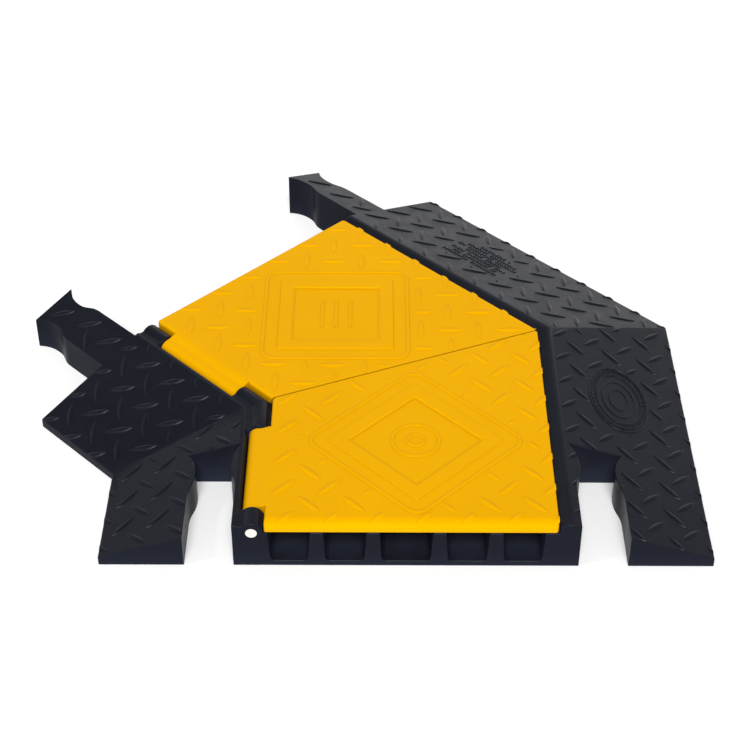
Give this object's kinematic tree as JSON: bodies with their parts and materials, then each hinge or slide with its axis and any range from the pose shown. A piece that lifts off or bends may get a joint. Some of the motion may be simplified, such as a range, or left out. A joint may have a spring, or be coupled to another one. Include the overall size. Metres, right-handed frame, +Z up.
{
  "type": "cable protector ramp turn module",
  "caption": "Drive-over cable protector turn module: ramped black base with covered cable channels, hinged yellow lids, and dog-bone sockets and connectors at its ends.",
  "frame": {"origin": "middle of the footprint's bounding box, on the ground", "axes": "+Z up; -Y out of leg A's socket end; leg B runs towards -X and +Y at 45 degrees to leg A; +X is the outside of leg A's ramp"},
  "size_m": [0.5952, 0.5496, 0.0476],
  "materials": {
    "black_polyurethane": "satin",
    "yellow_polyurethane": "satin",
    "offwhite_fibreglass": "matte"
  },
  "bodies": {
    "base": {"base_floor_leg_a": "black_polyurethane", "base_divider_1_leg_a": "black_polyurethane", "base_divider_2_leg_a": "black_polyurethane", "base_divider_3_leg_a": "black_polyurethane", "base_divider_4_leg_a": "black_polyurethane", "base_outer_rail_leg_a": "black_polyurethane", "base_hinge_rail_leg_a": "black_polyurethane", "base_outer_ramp_leg_a": "black_polyurethane", "base_inner_ramp_leg_a": "black_polyurethane", "base_corner_knuckle_leg_a": "black_polyurethane", "base_end_knuckle_leg_a": "black_polyurethane", "base_floor_leg_b": "black_polyurethane", "base_divider_1_leg_b": "black_polyurethane", "base_divider_2_leg_b": "black_polyurethane", "base_divider_3_leg_b": "black_polyurethane", "base_divider_4_leg_b": "black_polyurethane", "base_outer_rail_leg_b": "black_polyurethane", "base_hinge_rail_leg_b": "black_polyurethane", "base_outer_ramp_leg_b": "black_polyurethane", "base_inner_ramp_leg_b": "black_polyurethane", "base_corner_knuckle_leg_b": "black_polyurethane", "base_end_knuckle_leg_b": "black_polyurethane", "base_outer_connector_leg_b": "black_polyurethane", "base_inner_connector_leg_b": "black_polyurethane", "hinge_pin_leg_a": "offwhite_fibreglass", "hinge_pin_leg_b": "offwhite_fibreglass"},
    "lid_leg_a": {"lid_leg_a": "yellow_polyurethane"},
    "lid_leg_b": {"lid_leg_b": "yellow_polyurethane"}
  },
  "joints": [
    {"name": "lid_leg_a_hinge", "type": "hinge", "parent": "base", "child": "lid_leg_a", "pos_m": [-0.07843, -0.27482, 0.0357], "axis": [0, -1, 0], "range_deg": [0, 95]},
    {"name": "lid_leg_b_hinge", "type": "hinge", "parent": "base", "child": "lid_leg_b", "pos_m": [-0.04181, -0.15771, 0.0357], "axis": [0.7071, -0.7071, 0], "range_deg": [0, 45]}
  ]
}
